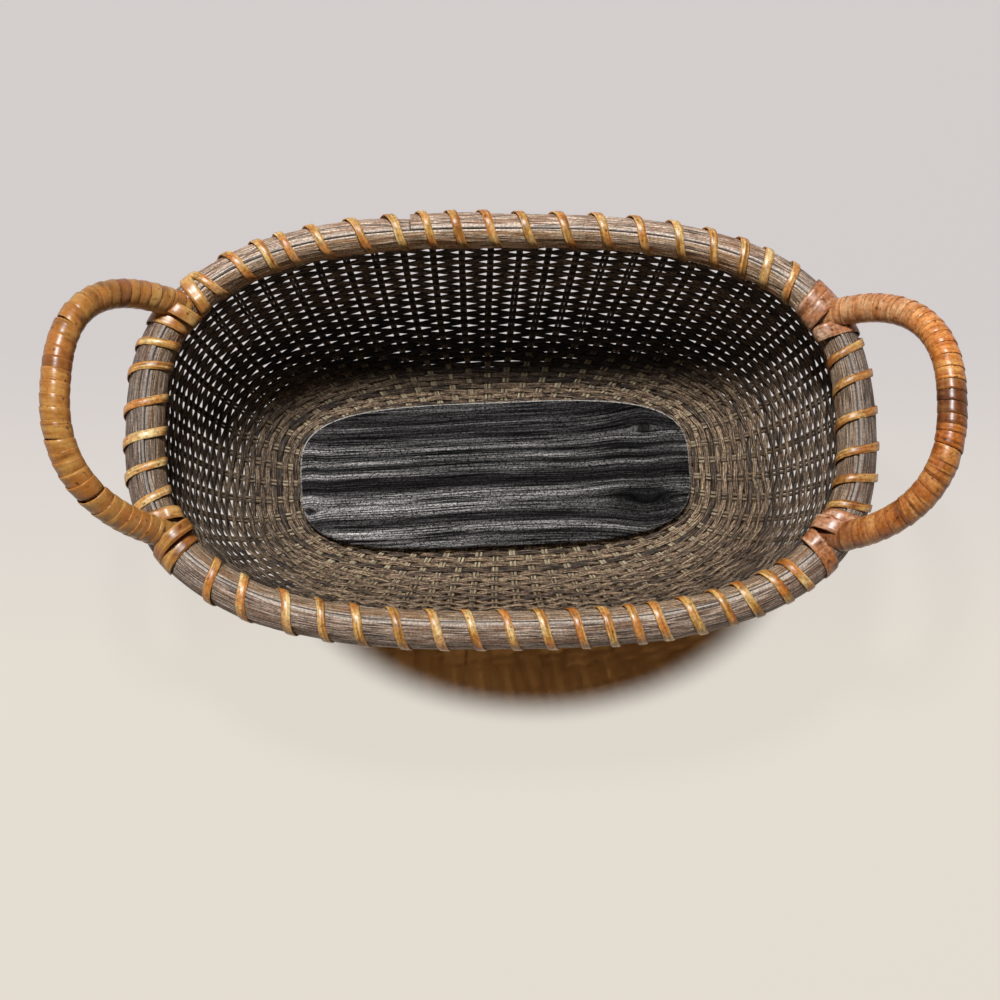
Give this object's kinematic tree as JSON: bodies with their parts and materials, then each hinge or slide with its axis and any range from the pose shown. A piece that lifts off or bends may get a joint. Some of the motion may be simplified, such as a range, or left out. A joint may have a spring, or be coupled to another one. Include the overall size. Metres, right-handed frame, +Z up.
{
  "type": "oval basket",
  "caption": "Oval open basket with a solid wooden base, a close-woven flared wall, a lashed half-round rim and an upright cane-wrapped ear handle at each end",
  "frame": {"origin": "Centre of the flat underside of the base board, on which the basket stands", "axes": "+X along the basket's length, towards one handle; +Y across it, to the back; +Z up, out of the basket's mouth"},
  "size_m": [0.4333, 0.2236, 0.1722],
  "materials": {
    "board": "black-stained wood, satin, grain showing, worn at the edge",
    "weave": "dark stained split weavers over paler stakes, matt",
    "outer_bark": "grey-brown bark with fine ridges along the length, matt",
    "inner_bark": "tan-brown bark with fine ridges along the length, matt",
    "lashing_cane": "honey-coloured glossy cane strip",
    "knot_cane": "honey-coloured cane strip, a little dusty",
    "handle_rod": "bent rod, hidden under its wrap but at the ends",
    "left_cane": "honey-golden cane strip with small dark stains",
    "right_cane": "orange-brown cane strip with pale and dark mottling"
  },
  "bodies": {
    "root": {"base_board": "board", "woven_wall": "weave", "rim_outer_hoop": "outer_bark", "rim_inner_hoop": "inner_bark", "back_rim_lashing": "lashing_cane", "left_rim_lashing": "lashing_cane", "front_rim_lashing": "lashing_cane", "right_rim_lashing": "lashing_cane", "left_back_handle_lashing": "knot_cane", "left_front_handle_lashing": "knot_cane", "right_front_handle_lashing": "knot_cane", "right_back_handle_lashing": "knot_cane", "left_handle_core": "handle_rod", "right_handle_core": "handle_rod", "left_handle_wrap": "left_cane", "right_handle_wrap": "right_cane"}
  },
  "joints": []
}
